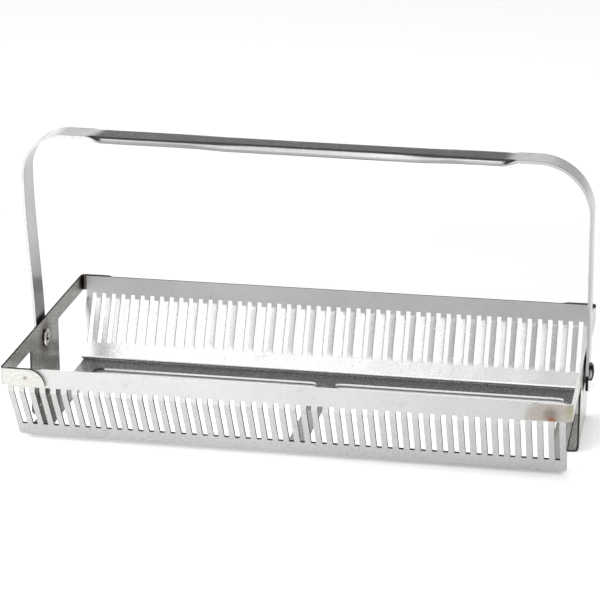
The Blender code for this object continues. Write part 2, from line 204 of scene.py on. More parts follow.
SOFTBOX_RIGHT = (-0.17, -0.035)
SOFTBOX_SPILL = 0.09            # of its light, to the right of its edge
RIM_LIGHT = 1.15                # of the band over the softbox, times the shares below
RIM_FRONT = (-0.30, -0.15)
RIM_HIGH = (0.93, 0.965)
RIM_LEFT = (-0.25, -0.20)
RIM_RIGHT = (-0.15, -0.11)
RIM_LEFT_SHARE = 1.5            # added to the middle's
RIM_MIDDLE_SHARE = 0.5
RIM_RIGHT_SHARE = 3.0

# Glow of the table, which the steel mirrors
TABLE_HALF = 3.0
TABLE_GLOW = 0.30
TABLE_LEFT = (60.0 * MM, -70.0 * MM)
TABLE_LEFT_GLOW = 0.56          # added on the left, but not close under the front wall or behind the rack
WALL_FOOT_Y = -42.0 * MM        # under the front wall, where nothing is added
WALL_FOOT_REACH = (6.0 * MM, 34.0 * MM)
TABLE_BEFORE = (12.0 * MM, -6.0 * MM)
TABLE_BEHIND = (50.0 * MM, 90.0 * MM)
TABLE_BEHIND_LOSS = 0.26
TABLE_FAR = (180.0 * MM, 320.0 * MM)
TABLE_FAR_LOSS = 0.14           # what that loss fades to
TABLE_UNDER = ((-78.0 * MM, 16.0 * MM, -MM), (78.0 * MM, 28.0 * MM, MM))
TABLE_UNDER_FADE = 8.0 * MM
TABLE_UNDER_LOSS = 0.27
TABLE_RIGHT = (-10.0 * MM, 80.0 * MM)
TABLE_RIGHT_BEFORE = (-25.0 * MM, -36.0 * MM)
TABLE_RIGHT_LOSS = 0.14


# ---------------------------------------------------------------- materials

class Nodes:
    """Short calls for building the node tree of a material or a world."""

    def __init__(self, owner):
        owner.use_nodes = True
        self.owner = owner
        self.tree = owner.node_tree
        self.shader = self.tree.nodes.get("Principled BSDF")

    def add(self, kind, **settings):
        node = self.tree.nodes.new("ShaderNode" + kind)
        for key, value in settings.items():
            setattr(node, key, value)
        return node

    def link(self, output, target):
        self.tree.links.new(output, target)

    def feed(self, value, target):
        """Gives a socket a plain value or another node's output."""
        if isinstance(value, (int, float, tuple)):
            target.default_value = value
        else:
            self.link(value, target)

    def coordinates(self, stretch):
        place = self.add("TexCoord")
        mapping = self.add("Mapping")
        mapping.inputs["Scale"].default_value = stretch
        self.link(place.outputs["Object"], mapping.inputs["Vector"])
        return mapping.outputs["Vector"]

    def position(self, space="Object"):
        """The three parts of the place, or of the direction, that is being shaded."""
        place = self.add("TexCoord")
        parts = self.add("SeparateXYZ")
        self.link(place.outputs[space], parts.inputs["Vector"])
        return parts.outputs

    def noise(self, stretch, scale, detail=3.0, roughness=0.55):
        node = self.add("TexNoise")
        node.inputs["Scale"].default_value = scale
        node.inputs["Detail"].default_value = detail
        node.inputs["Roughness"].default_value = roughness
        self.link(self.coordinates(stretch), node.inputs["Vector"])
        return node.outputs["Fac"]

    def math(self, operation, first, second=0.0, clamp=False):
        node = self.add("Math", operation=operation, use_clamp=clamp)
        for socket, value in zip(node.inputs, (first, second)):
            self.feed(value, socket)
        return node.outputs[0]

    def spread(self, value, low, high, to_low=0.0, to_high=1.0):
        node = self.add("MapRange", interpolation_type="SMOOTHSTEP")
        for key, number in (("From Min", low), ("From Max", high), ("To Min", to_low), ("To Max", to_high)):
            node.inputs[key].default_value = number
        self.link(value, node.inputs["Value"])
        return node.outputs["Result"]

    def distance(self, centre):
        place = self.add("TexCoord")
        node = self.add("VectorMath", operation="DISTANCE")
        node.inputs[1].default_value = centre
        self.link(place.outputs["Object"], node.inputs[0])
        return node.outputs["Value"]

    def inside_box(self, low, high, soft=0.3 * MM):
        parts = self.position()
        share = 1.0
        for axis, start, end in zip("XYZ", low, high):
            share = self.math("MULTIPLY", share, self.spread(parts[axis], start - soft, start))
            share = self.math("MULTIPLY", share, self.spread(parts[axis], end + soft, end))
        return share

    def mix(self, factor, first, second):
        node = self.add("Mix", data_type="RGBA")
        for socket, value in ((node.inputs[0], factor), (node.inputs[6], first), (node.inputs[7], second)):
            self.feed(value, socket)
        return node.outputs[2]

    def bump(self, height, strength, distance, under=None):
        node = self.add("Bump")
        node.inputs["Strength"].default_value = strength
        node.inputs["Distance"].default_value = distance
        self.link(height, node.inputs["Height"])
        if under is not None:
            self.link(under, node.inputs["Normal"])
        return node.outputs["Normal"]

    def metal(self, colour, rough, normal, share=1.0):
        """Joins a metal's colour, roughness and relief to the shader, and returns the material."""
        inputs = {"Base Color": colour, "Roughness": rough, "Normal": normal, "Metallic": share}
        for key, value in inputs.items():
            self.feed(value, self.shader.inputs[key])
        return self.owner


def new_material(name):
    return Nodes(bpy.data.materials.new(name))


def grey(value, tint=0.98):
    return (value * 1.005, value, value * tint, 1.0)


def stainless(name, shade, roughness, grain, ripple=0.35, tint=0.98, marks=(), shade_boxes=(),
              edge_shade_width=None, matt_lighter_above=None, lighter_matt_boxes=()):
    """Satin stainless sheet: fine speckle, faint grain, smudges, slight dents, and stains.

    grain is the stretch of the rolling lines, small along them. marks are (centre, radius, colour, strength)
    of stains, and of patches of painted shade. shade_boxes are the boxes, as (low, high) corners, painted
    near black: painted shade in gaps and hollows. edge_shade_width is the half width of a strap whose faces
    get painted shade along both edges. matt_lighter_above is the height from which the surface is rougher and
    painted lighter. lighter_matt_boxes are the boxes painted lighter and made rougher.
    """
    nodes = new_material(name)
    lines = nodes.noise(grain, LINES_SCALE, detail=2.0)
    speckle = nodes.noise(EVEN, SPECKLE_SCALE, detail=2.0, roughness=0.7)
    smudges = nodes.noise(EVEN, SMUDGES_SCALE, detail=4.0, roughness=0.6)
    spots = nodes.spread(nodes.noise(EVEN, SPOTS_SCALE, detail=2.0), 0.60, 0.74)

    # Each layer is where it lies, its share of the shade, and how much warmer it is.
    colour = grey(shade, tint)
    for where, share, warmer in ((nodes.spread(smudges, 0.35, 0.70), 0.92, 0.0),
                                 (nodes.spread(speckle, 0.38, 0.64), 0.80, 0.0),
                                 (nodes.math("MULTIPLY", lines, 0.12), 0.74, 0.0),
                                 (nodes.math("MULTIPLY", spots, 0.14), 0.66, 0.02)):
        colour = nodes.mix(where, colour, grey(shade * share, tint - warmer))
    wear = nodes.math("ADD", nodes.math("MULTIPLY", smudges, 0.10), nodes.math("MULTIPLY", speckle, 0.18))
    rough = nodes.math("ADD", wear, roughness - 0.14, clamp=True)
    rough = nodes.math("ADD", rough, nodes.math("MULTIPLY", spots, 0.08), clamp=True)

    # Painted highlight: above this height the colour is lighter; the surface is also rougher there.
    if matt_lighter_above:
        matt = nodes.spread(nodes.position()["Z"], matt_lighter_above, matt_lighter_above + 0.8 * MM, 0.0, 0.32)
        rough = nodes.math("ADD", rough, matt, clamp=True)
        colour = nodes.mix(matt, colour, grey(shade * 1.15, tint))
    # Painted highlight: each box is painted lighter and made rougher.
    for box in lighter_matt_boxes:
        inside = nodes.inside_box(*box)
        colour = nodes.mix(inside, colour, grey(shade * 1.35, tint))
        rough = nodes.math("ADD", rough, nodes.math("MULTIPLY", inside, 0.45), clamp=True)
    # Stains, and patches of painted shade.
    for centre, radius, stain_and_shade, strength in marks:
        wobble = nodes.math("MULTIPLY", nodes.noise(EVEN, STAIN_RIM_SCALE), radius * 0.7)
        reach = nodes.math("SUBTRACT", nodes.distance(centre), wobble)
        here = nodes.spread(reach, radius * 1.15, 0.0, 0.0, strength)
        colour = nodes.mix(here, colour, (*stain_and_shade, 1.0))
    # Painted shade along both edges of the strap's faces.
    if edge_shade_width:
        off = nodes.math("ABSOLUTE", nodes.position()["Y"])
        strip = nodes.math("MULTIPLY", nodes.spread(off, edge_shade_width - 0.85 * MM, edge_shade_width - 0.40 * MM, 0.0, 0.65),
                           nodes.spread(off, edge_shade_width - 0.01 * MM, edge_shade_width - 0.05 * MM))
        colour = nodes.mix(strip, colour, grey(shade * 0.35, tint))
    # Painted shade: each box is painted near black.
    for box in shade_boxes:
        inside = nodes.inside_box(*box)
        colour = nodes.mix(inside, colour, grey(0.02))
        rough = nodes.math("ADD", rough, nodes.math("MULTIPLY", inside, 0.35), clamp=True)

    height = nodes.math("ADD", nodes.math("MULTIPLY", lines, 0.5), speckle)
    relief = nodes.bump(height, strength=0.16, distance=0.02 * MM)
    dents = nodes.noise(EVEN, DENTS_SCALE, detail=1.0)
    return nodes.metal(colour, rough, nodes.bump(dents, strength=ripple, distance=0.18 * MM, under=relief))


def sheared_edge(name, highlighted=()):
    """The punched and cut edges of a sheet: torn across the thickness, duller than its faces, and painted
    near black, which also paints shade along the cut and rounded edges.

    highlighted are the boxes, as (low, high) corners, in which the edge is painted light grey, less metallic
    and smoother: a painted highlight.
    """
    nodes = new_material(name + "_cut_edge")
    tear = nodes.noise(EVEN, TEAR_SCALE, detail=3.0)
    colour = nodes.mix(nodes.spread(tear, 0.3, 0.7), grey(0.03), grey(0.09))
    rough = nodes.spread(tear, 0.3, 0.7, 0.40, 0.65)
    metal_share = 1.0
    # Painted highlight: light grey, less metallic and smoother inside these boxes.
    if highlighted:
        smooth = nodes.inside_box(*highlighted[0])
        for box in highlighted[1:]:
            smooth = nodes.math("MAXIMUM", smooth, nodes.inside_box(*box))
        colour = nodes.mix(smooth, colour, grey(0.80))
        rough = nodes.math("SUBTRACT", rough, nodes.math("MULTIPLY", smooth, 0.3), clamp=True)
        metal_share = nodes.math("SUBTRACT", 1.0, nodes.math("MULTIPLY", smooth, 0.75))
    return nodes.metal(colour, rough, nodes.bump(tear, strength=0.5, distance=0.05 * MM), metal_share)


def lighter_edge(name, shade_boxes):
    """The strap's rounded edges, rougher than its faces and painted lighter: a painted highlight."""
    return stainless(name + "_lighter_edge", shade=0.57, roughness=0.30, grain=EVEN, ripple=0.1, tint=0.985,
                     shade_boxes=shade_boxes)


# ---------------------------------------------------------------- outlines and folds

def arc(centre, radius, start, end, steps):
    points = []
    for i in range(steps + 1):
        angle = math.radians(start + (end - start) * i / steps)
        points.append((centre[0] + radius * math.cos(angle), centre[1] + radius * math.sin(angle)))
    return points


def rounded_rectangle(low, high, radius, steps):
    (x0, y0), (x1, y1) = low, high
    return (arc((x1 - radius, y1 - radius), radius, 0, 90, steps)
            + arc((x0 + radius, y1 - radius), radius, 90, 180, steps)
            + arc((x0 + radius, y0 + radius), radius, 180, 270, steps)
            + arc((x1 - radius, y0 + radius), radius, 270, 360, steps))


def rectangle(low, high):
    return [low, (high[0], low[1]), high, (low[0], high[1])]


def circle(centre, radius, steps):
    return arc(centre, radius, 0, 360, steps)[:-1]


def steps_between(start, end, steps):
    return [start + (end - start) * i / steps for i in range(steps + 1)]


def add_object(name, data):
    item = bpy.data.objects.new(name, data)
    bpy.context.scene.collection.objects.link(item)
    return item


def blank(outlines):
    """A flat sheet in the XY plane: the first outline is its edge, the others are its holes."""
    curve = bpy.data.curves.new("outline", "CURVE")
    curve.dimensions = "2D"
    curve.fill_mode = "BOTH"
    for outline in outlines:
        spline = curve.splines.new("POLY")
        spline.points.add(len(outline) - 1)
        for point, (x, y) in zip(spline.points, outline):
            point.co = (x, y, 0.0, 1.0)
        spline.use_cyclic_u = True
    holder = add_object("outline", curve)
    evaluated = holder.evaluated_get(bpy.context.evaluated_depsgraph_get())
    mesh = bpy.data.meshes.new_from_object(evaluated)
    bpy.data.objects.remove(holder, do_unlink=True)
    bpy.data.curves.remove(curve)
    sheet = bmesh.new()
    sheet.from_mesh(mesh)
    bpy.data.meshes.remove(mesh)
    bmesh.ops.remove_doubles(sheet, verts=sheet.verts, dist=0.0001 * MM)
    return sheet


def crease(sheet, axis, places, inside=None):
    """Cuts the blank along straight lines; inside says which faces are cut, from their middles."""
    normal = Vector((1, 0, 0)) if axis == "X" else Vector((0, 1, 0))
    for place in places:
        faces = [face for face in sheet.faces if inside is None or inside(face.calc_center_median())]
        edges = {edge for face in faces for edge in face.edges}
        bmesh.ops.bisect_plane(sheet, geom=faces + list(edges), dist=0.0001 * MM,
                               plane_co=normal * place, plane_no=normal)


def fold(sheet, place):
    """Moves every point (x, y) of a blank to place(x, y)."""
    for vertex in sheet.verts:
        vertex.co = place(vertex.co.x, vertex.co.y)


def run_in_section(stretches, distance):
    """Point and heading at a distance along a chain of straight stretches and arcs that all turn left."""
    along, up, heading = 0.0, 0.0, 0.0
    for size, radius in stretches:
        length = size if radius is None else size * radius
        step = min(distance, length)
        if radius is None:
            along += step * math.cos(heading)
            up += step * math.sin(heading)
        else:
            turned = heading + step / radius
            along += radius * (math.sin(turned) - math.sin(heading))
            up += radius * (math.cos(heading) - math.cos(turned))
            heading = turned
        distance -= step
        if distance <= 0:
            return along, up, heading
    return along + distance * math.cos(heading), up + distance * math.sin(heading), heading


def corner_loss(angle):
    return HALF_SHEET * math.tan(angle / 2)


def tangent(angle, radius=BEND_RADIUS):
    return radius * math.tan(angle / 2)


def ease(value):
    value = min(max(value, 0.0), 1.0)
    return value * value * (3.0 - 2.0 * value)


def soften(piece, width, material=-1):
    edges = piece.modifiers.new("softened edges", "BEVEL")
    edges.width = width
    edges.segments = 2
    edges.limit_method = "ANGLE"
    edges.angle_limit = SHARP_ANGLE
    edges.use_clamp_overlap = True
    edges.material = material


def piece_from(name, sheet, thickness, materials, body, slot, *nodes):
    """Finishes a folded blank: thickness, softened edges, and its place on its body.

    The last material is that of the cut edges.
    """
    bmesh.ops.recalc_face_normals(sheet, faces=sheet.faces)
    mesh = bpy.data.meshes.new(name)
    sheet.to_mesh(mesh)
    sheet.free()
    for material in materials:
        mesh.materials.append(material)
    piece = add_object(name, mesh)
    shell = piece.modifiers.new("thickness", "SOLIDIFY")
    shell.thickness = thickness
    shell.offset = 0.0
    shell.use_even_offset = True
    shell.use_quality_normals = True
    shell.material_offset_rim = len(materials) - 1
    # The rounded edges take the cut edge's material; on the tray and plates its near black paints shade along
    # them.
    soften(piece, EDGE_ROUNDING, len(materials) - 1)
    finish_piece(piece, body, slot, *nodes)


def finish_piece(piece, body, slot, *nodes):
    piece.data.shade_smooth()
    flat = piece.modifiers.new("flat faces stay flat", "WEIGHTED_NORMAL")
    flat.keep_sharp = True
    flat.weight = 100
    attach(piece, body)
    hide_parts(*nodes)


# ---------------------------------------------------------------- tray

def slot_middles():
    return [(i - (SLOT_COUNT - 1) / 2) * SLOT_PITCH for i in range(SLOT_COUNT)]


def punch_slots(sheet, slot_low, slot_high):
    """Cuts the slots out of both walls, and a line along each bar where the punch drew its edge down."""
    def in_slots(point):
        return slot_low < abs(point.y) < slot_high

    half_slot = SLOT_WIDTH / 2
    middles = slot_middles()
    crease(sheet, "X", [middle + way * half_slot for middle in middles for way in (-1, 1)], in_slots)
    crease(sheet, "X", [middle - half_slot - ROLL_OVER_WIDTH for middle in middles], in_slots)
    punched = [face for face in sheet.faces if in_slots(face.calc_center_median())
               and any(abs(face.calc_center_median().x - middle) < half_slot for middle in middles)]
    bmesh.ops.delete(sheet, geom=punched, context="FACES")


def lay_floor(sheet, floor_end, floor_run):
    """Puts the floor with its two openings in place of the plain strip between the floor's folds."""
    bmesh.ops.delete(sheet, geom=[face for face in sheet.faces
                                  if abs(face.calc_center_median().y) < floor_run / 2],
                     context="FACES_ONLY")
    openings = []
    half_length, half_bridge = OPENINGS_LENGTH / 2, BRIDGE_WIDTH / 2
    for start, end in ((-half_length, -half_bridge), (half_bridge, half_length)):
        openings.append(rounded_rectangle((start + OPENINGS_SHIFT, -OPENING_HALF_WIDTH),
                                          (end + OPENINGS_SHIFT, OPENING_HALF_WIDTH), OPENING_CORNER, 8))
    floor = blank([rectangle((-floor_end, -floor_run), (floor_end, floor_run))] + openings)
    floor_mesh = bpy.data.meshes.new("tray_floor")
    floor.to_mesh(floor_mesh)
    floor.free()
    sheet.from_mesh(floor_mesh)
    bpy.data.meshes.remove(floor_mesh)
    bmesh.ops.remove_doubles(sheet, verts=sheet.verts, dist=0.001 * MM)


def tray_materials(floor_end):
    """Steel and cut edge of the tray; the bridge and the floor's right end are painted lighter and made
    rougher at the front.
    """
    floor_high = FLOOR_UNDERSIDE + 2 * SHEET
    half_length, half_bridge = OPENINGS_LENGTH / 2, BRIDGE_WIDTH / 2
    lighter_patches = [((start + OPENINGS_SHIFT, -OPENING_HALF_WIDTH, 0.0), (end + OPENINGS_SHIFT, 0.0, floor_high))
              for start, end in ((-half_bridge, half_bridge), (half_length, floor_end))]
    steel = stainless("tray_stainless", shade=0.61, roughness=0.25, grain=TRAY_GRAIN, tint=0.99,
                      matt_lighter_above=RAIL_MATT_LIGHTER_ABOVE, lighter_matt_boxes=lighter_patches)
    rail_edge = ((HIGHLIGHT_FROM_X, -OUTSIDE_Y, RAIL_TOP_Z - HIGHLIGHT_RAIL_DEPTH),
                 (OUTSIDE_X, 0.0, RAIL_TOP_Z + MARGIN))
    opening_edge = ((HIGHLIGHT_FROM_X, OPENING_HALF_WIDTH - MARGIN, 0.0),
                    (OUTSIDE_X, OPENING_HALF_WIDTH + HIGHLIGHT_OPENING_DEPTH, floor_high))
    return steel, sheared_edge("tray", (rail_edge, opening_edge))


def build_tray():
    floor_turn = math.pi / 2 - WALL_LEAN
    rail_turn = WALL_LEAN
    floor_run = FLOOR_HALF_WIDTH - corner_loss(floor_turn) - tangent(floor_turn, FLOOR_BEND)
    wall_run = (WALL_SLANT - corner_loss(floor_turn) - corner_loss(rail_turn)
                - tangent(floor_turn, FLOOR_BEND) - tangent(rail_turn))
    rail_run = RAIL_HEIGHT - corner_loss(rail_turn) - tangent(rail_turn)
    section = [(floor_run, None), (floor_turn, FLOOR_BEND), (wall_run, None), (rail_turn, BEND_RADIUS),
               (rail_run, None)]
    floor_fold = (floor_run, floor_run + floor_turn * FLOOR_BEND)
    rail_fold = (floor_fold[1] + wall_run, floor_fold[1] + wall_run + rail_turn * BEND_RADIUS)
    edge = rail_fold[1] + rail_run
    slot_low = floor_fold[1] + SLOT_START - corner_loss(floor_turn) - tangent(floor_turn, FLOOR_BEND)
    slot_high = rail_fold[1] + SLOT_OVER_FOLD - corner_loss(rail_turn) - tangent(rail_turn)

    wall_end = (SLOT_COUNT * SLOT_PITCH + SLOT_PITCH - SLOT_WIDTH) / 2
    floor_end = wall_end - FLOOR_END_SETBACK
    fold_middle = sum(floor_fold) / 2
    corner = arc((floor_end, fold_middle + FLOOR_END_SETBACK), FLOOR_END_SETBACK, -90, 0, 8)
    quarter = corner + [(wall_end, edge)]
    outline = (quarter + [(-x, y) for x, y in reversed(quarter)]
               + [(-x, -y) for x, y in quarter] + [(x, -y) for x, y in reversed(quarter)])

    sheet = blank([outline])
    bmesh.ops.dissolve_faces(sheet, faces=sheet.faces)
    twist_rows = (slot_low + TWIST_INSET, rail_fold[0] - TWIST_INSET)
    for side in (-1, 1):
        places = (steps_between(*floor_fold, 12) + steps_between(*rail_fold, 6)
                  + [slot_low, slot_high, *twist_rows])
        crease(sheet, "Y", [side * place for place in places])
    punch_slots(sheet, slot_low, slot_high)
    lay_floor(sheet, floor_end, floor_run)

    half_bar = (SLOT_PITCH - SLOT_WIDTH) / 2
    last_slot = slot_middles()[-1]
    near = 0.1 * MM

    def place(x, y):
        """Folds the blank, gives the walls' bars a slight twist, and draws their right edges down."""
        along, up, heading = run_in_section(section, abs(y))
        bar = (x / SLOT_PITCH) % 2.0
        across = (x / SLOT_PITCH + 0.5) % 1.0 - 0.5
        share = across * SLOT_PITCH / half_bar
        lift = 0.0
        if abs(x) < last_slot:
            if twist_rows[0] - near < abs(y) < twist_rows[1] + near:
                way = 1 if 0.5 < bar < 1.5 else -1
                lift = BAR_TWIST * way * share * ease((x + TWIST_START) / TWIST_FADE)
            if share > 0.99 and slot_low + near < abs(y) < slot_high - near:
                lift -= ROLL_OVER
        along -= lift * math.sin(heading)
        up += lift * math.cos(heading)
        return Vector((x, math.copysign(along, y), FLOOR_UNDERSIDE + HALF_SHEET + up))

    fold(sheet, place)
    piece_from("tray_folded_sheet", sheet, SHEET, tray_materials(floor_end), "rack", "tray_steel", "tray")


# ---------------------------------------------------------------- end plates

def refine_weld(sheet, way, weld_run, tab_start):
    """A fine grid round one weld mark, which the fold then presses in."""
    middles = (("X", way * weld_run), ("Y", -WELD_BELOW_TOP))

    def near_weld(point):
        return abs(point.x - way * weld_run) < WELD_NEAR and abs(point.y + WELD_BELOW_TOP) < WELD_NEAR

    def on_tab(point):
        return point.x * way > tab_start

    for axis, middle in middles:
        crease(sheet, axis, [middle - WELD_WINDOW, middle + WELD_WINDOW], on_tab)
    for axis, middle in middles:
        rows = steps_between(middle - WELD_WINDOW, middle + WELD_WINDOW, WELD_GRID_STEPS)
        crease(sheet, axis, rows[1:-1], near_weld)


def plate_materials(word, side):
    """Steel and cut edge of a plate, with the stains of its welds, and painted shade round the rivet, in the
    left plate's back corner and behind the arm.
    """
    weld_x, weld_z = PLATE_FACE_X - WELD_FROM_FACE, BAND_TOP_Z - WELD_BELOW_TOP
    if side > 0:
        marks = [((weld_x, -TAB_FACE_Y, weld_z), 6.5 * MM, HEAT_PINK, 0.55),
                 ((weld_x + 1.0 * MM, -TAB_FACE_Y, weld_z - 0.6 * MM), 2.0 * MM, HEAT_BROWN_AND_SHADE, 0.50),
                 ((weld_x + 1.4 * MM, -TAB_FACE_Y, weld_z - 2.5 * MM), 1.2 * MM, RUST, 0.9),
                 ((PLATE_FACE_X - 0.1 * MM, -TAB_FACE_Y, weld_z + 0.6 * MM), 2.2 * MM, HEAT_GREEN, 0.6),
                 ((weld_x, TAB_FACE_Y, weld_z), 4.0 * MM, HEAT_PINK, 0.5)]
    else:
        marks = [((-weld_x + 0.4 * MM, -TAB_FACE_Y, weld_z), 0.7 * MM, HEAT_BROWN_AND_SHADE, 0.5),
                 ((-weld_x, TAB_FACE_Y, weld_z), 4.0 * MM, HEAT_PINK, 0.5),
                 # Painted shade in the left plate's back corner.
                 ((-PLATE_FACE_X + 0.6 * MM, TAB_FACE_Y - 0.6 * MM, weld_z), 5.0 * MM, HEAT_BROWN_AND_SHADE, 0.9)]
    # Painted shade round the rivet's rolled end, on the plate's inner face.
    marks.append(((side * (PLATE_FACE_X - SHEET), 0.0, PIVOT_Z), 5.5 * MM, HEAT_BROWN_AND_SHADE, 1.0))
    half_strap = STRAP_WIDTH / 2
    # Painted shade on the plate behind the arm, in the gap between them.
    gap_shade = ((side * PLATE_FACE_X - PLATE_SHADE_DEPTH, -half_strap, PIVOT_Z - STRAP_END),
               (side * PLATE_FACE_X + PLATE_SHADE_DEPTH, half_strap, BAND_TOP_Z))
    steel = stainless("end_plate_stainless_" + word, shade=0.53, roughness=0.26, grain=PLATE_GRAIN,
                      tint=0.94, marks=marks, shade_boxes=(gap_shade,))
    return steel, sheared_edge("end_plate_" + word, (HIGHLIGHT_PLATE,) if side > 0 else ())


def build_end_plate(word, side):
    right_angle = math.pi / 2
    reach = PLATE_FACE_X - HALF_SHEET
    band_run = TAB_Y - BEND_RADIUS
    tab_run = TAB_LENGTH - HALF_SHEET - BEND_RADIUS
    band_section = [(band_run, None), (right_angle, BEND_RADIUS), (tab_run, None)]
    band_end = band_run + right_angle * BEND_RADIUS + tab_run
    tab_fold = (band_run, band_run + right_angle * BEND_RADIUS)
    leg_run = BAND_TOP_Z - HALF_SHEET - BEND_RADIUS
    foot_run = FOOT_REACH - HALF_SHEET - BEND_RADIUS
    leg_section = [(leg_run, None), (right_angle, BEND_RADIUS), (foot_run, None)]
    foot_fold = (leg_run, leg_run + right_angle * BEND_RADIUS)
    foot_end = foot_fold[1] + foot_run

    half_leg = LEG_WIDTH / 2
    half = ([(0.0, 0.0)]
            + arc((band_end - BAND_HEIGHT, -BAND_HEIGHT), BAND_HEIGHT, 90, 0, 20)
            + arc((half_leg + LEG_CORNER, -BAND_HEIGHT - LEG_CORNER), LEG_CORNER, 90, 180, 5)
            + arc((half_leg - FOOT_CORNER, -foot_end + FOOT_CORNER), FOOT_CORNER, 0, -90, 8))
    outline = half + [(-x, y) for x, y in reversed(half[1:])]
    hole = circle((0.0, PIVOT_Z - BAND_TOP_Z), HOLE_RADIUS, 40)

    sheet = blank([outline, hole])
    for way in (-1, 1):
        crease(sheet, "X", [way * place for place in steps_between(*tab_fold, 10)])
    crease(sheet, "Y", [-place for place in steps_between(*foot_fold, 10)])
    weld_run = tab_fold[1] + WELD_FROM_FACE - HALF_SHEET - BEND_RADIUS
    for way in (-1, 1):
        refine_weld(sheet, way, weld_run, tab_fold[1])

    def place(x, y):
        """Folds the blank, and presses a dimple into each tab."""
        across, inward, heading = run_in_section(band_section, abs(x))
        down, under, _ = run_in_section(leg_section, -y)
        off = math.hypot(abs(x) - weld_run, y + WELD_BELOW_TOP) / WELD_RADIUS
        press = WELD_DEPTH * (1.0 - ease(off)) * (0.6 + 0.4 * math.cos(3.0 * off))
        across -= press * math.sin(heading)
        return Vector((side * (reach - inward - under), math.copysign(across, x), BAND_TOP_Z - down))

    fold(sheet, place)
    piece_from("end_plate_folded_" + word, sheet, SHEET, plate_materials(word, side), "rack",
               "plate_steel_" + word, "end_plate_" + word)


# ---------------------------------------------------------------- handle

def arm_path(bow, bend_z, steps):
    low = PIVOT_Z - STRAP_END
    path = []
    for height in steps_between(low, bend_z, steps):
        path.append((ARM_MID_X + bow * ease((height - PIVOT_Z) / (bend_z - PIVOT_Z)), height))
    return path


def bail_path():
    """Mid thickness of the strap in the XZ plane, from the left arm's end over the bar to the right one's."""
    left_x, right_x = ARM_MID_X + LEFT_BOW, ARM_MID_X + RIGHT_BOW
    left_arm = [(-x, z) for x, z in arm_path(LEFT_BOW, LEFT_TOP_Z - LEFT_BEND, 14)]
    right_arm = arm_path(RIGHT_BOW, RIGHT_TOP_Z - RIGHT_BEND, 14)[::-1]
    left_bend = arc((-left_x + LEFT_BEND, LEFT_TOP_Z - LEFT_BEND), LEFT_BEND, 180, 90, 22)[1:]
    right_bend = arc((right_x - RIGHT_BEND, RIGHT_TOP_Z - RIGHT_BEND), RIGHT_BEND, 90, 0, 22)[:-1]
    bar_start, bar_end = left_bend[-1], right_bend[0]
    bar = []
    for x in (steps_between(GRIP_START, GRIP_START + GRIP_FADE, 12)
              + steps_between(GRIP_START + GRIP_FADE, GRIP_END - GRIP_FADE, 16)[1:-1]
              + steps_between(GRIP_END - GRIP_FADE, GRIP_END, 12)):
        share = (x - bar_start[0]) / (bar_end[0] - bar_start[0])
        bar.append((x, bar_start[1] + share * (bar_end[1] - bar_start[1])))
    return left_arm + left_bend + bar + right_bend + right_arm


def grip_section(x, across):
    """Where the press puts a point of the grip, sideways and down; across is its run from the middle line."""
    pressed = min(ease((x - GRIP_START) / GRIP_FADE), ease((GRIP_END - x) / GRIP_FADE))
    deep = ease((x - DEEP_START) / DEEP_FADE) * ease((DEEP_END - x) / DEEP_FADE)
    bend = FLANGE_FROM + deep * (DEEP_FROM - FLANGE_FROM)
    turn = pressed * (FLANGE_TURN + deep * (DEEP_TURN - FLANGE_TURN))
    sideways = down = 0.0
    for i in range(SECTION_STEPS):
        run = abs(across) * (i + 0.5) / SECTION_STEPS
        heading = turn * ease((run - bend) / FLANGE_BEND + 0.5)
        sideways += abs(across) / SECTION_STEPS * math.cos(heading)
        down += abs(across) / SECTION_STEPS * math.sin(heading)
    return math.copysign(sideways, across), down - pressed * GRIP_ROLL * across / (STRAP_WIDTH / 2)


def handle_materials():
    """Steel and edges of the strap, with painted shade where its arms lie against the plates, on the left arm
    and along the faces' edges.
    """
    half_width = STRAP_WIDTH / 2
    face = ARM_MID_X - STRAP / 2
    # Painted shade on the arms' inner faces, where they lie against the plates.
    gap_shade = [((side * face - STRAP_SHADE_DEPTH, -half_width, PIVOT_Z - STRAP_END),
                (side * face + STRAP_SHADE_DEPTH, half_width, SHADE_TOP_Z)) for side in (-1, 1)]
    # Painted shade on the left arm's inner face.
    shaded_arm = [((-face, 0.0, ARM_SHADE_Z), ARM_SHADE_RADIUS, ARM_SHADE, 0.6)]
    steel = stainless("strap_stainless", shade=0.51, roughness=0.19, grain=STRAP_GRAIN, ripple=0.12,
                      tint=0.985, marks=shaded_arm, shade_boxes=gap_shade, edge_shade_width=half_width)
    # Painted shade: the arm's end below the pivot is painted near black on its edges.
    hidden_end = ((ARM_MID_X - STRAP, -half_width - STRAP, PIVOT_Z - STRAP_END - STRAP),
                  (ARM_MID_X + STRAP, half_width + STRAP, PIVOT_Z))
    return steel, lighter_edge("strap", (hidden_end,))


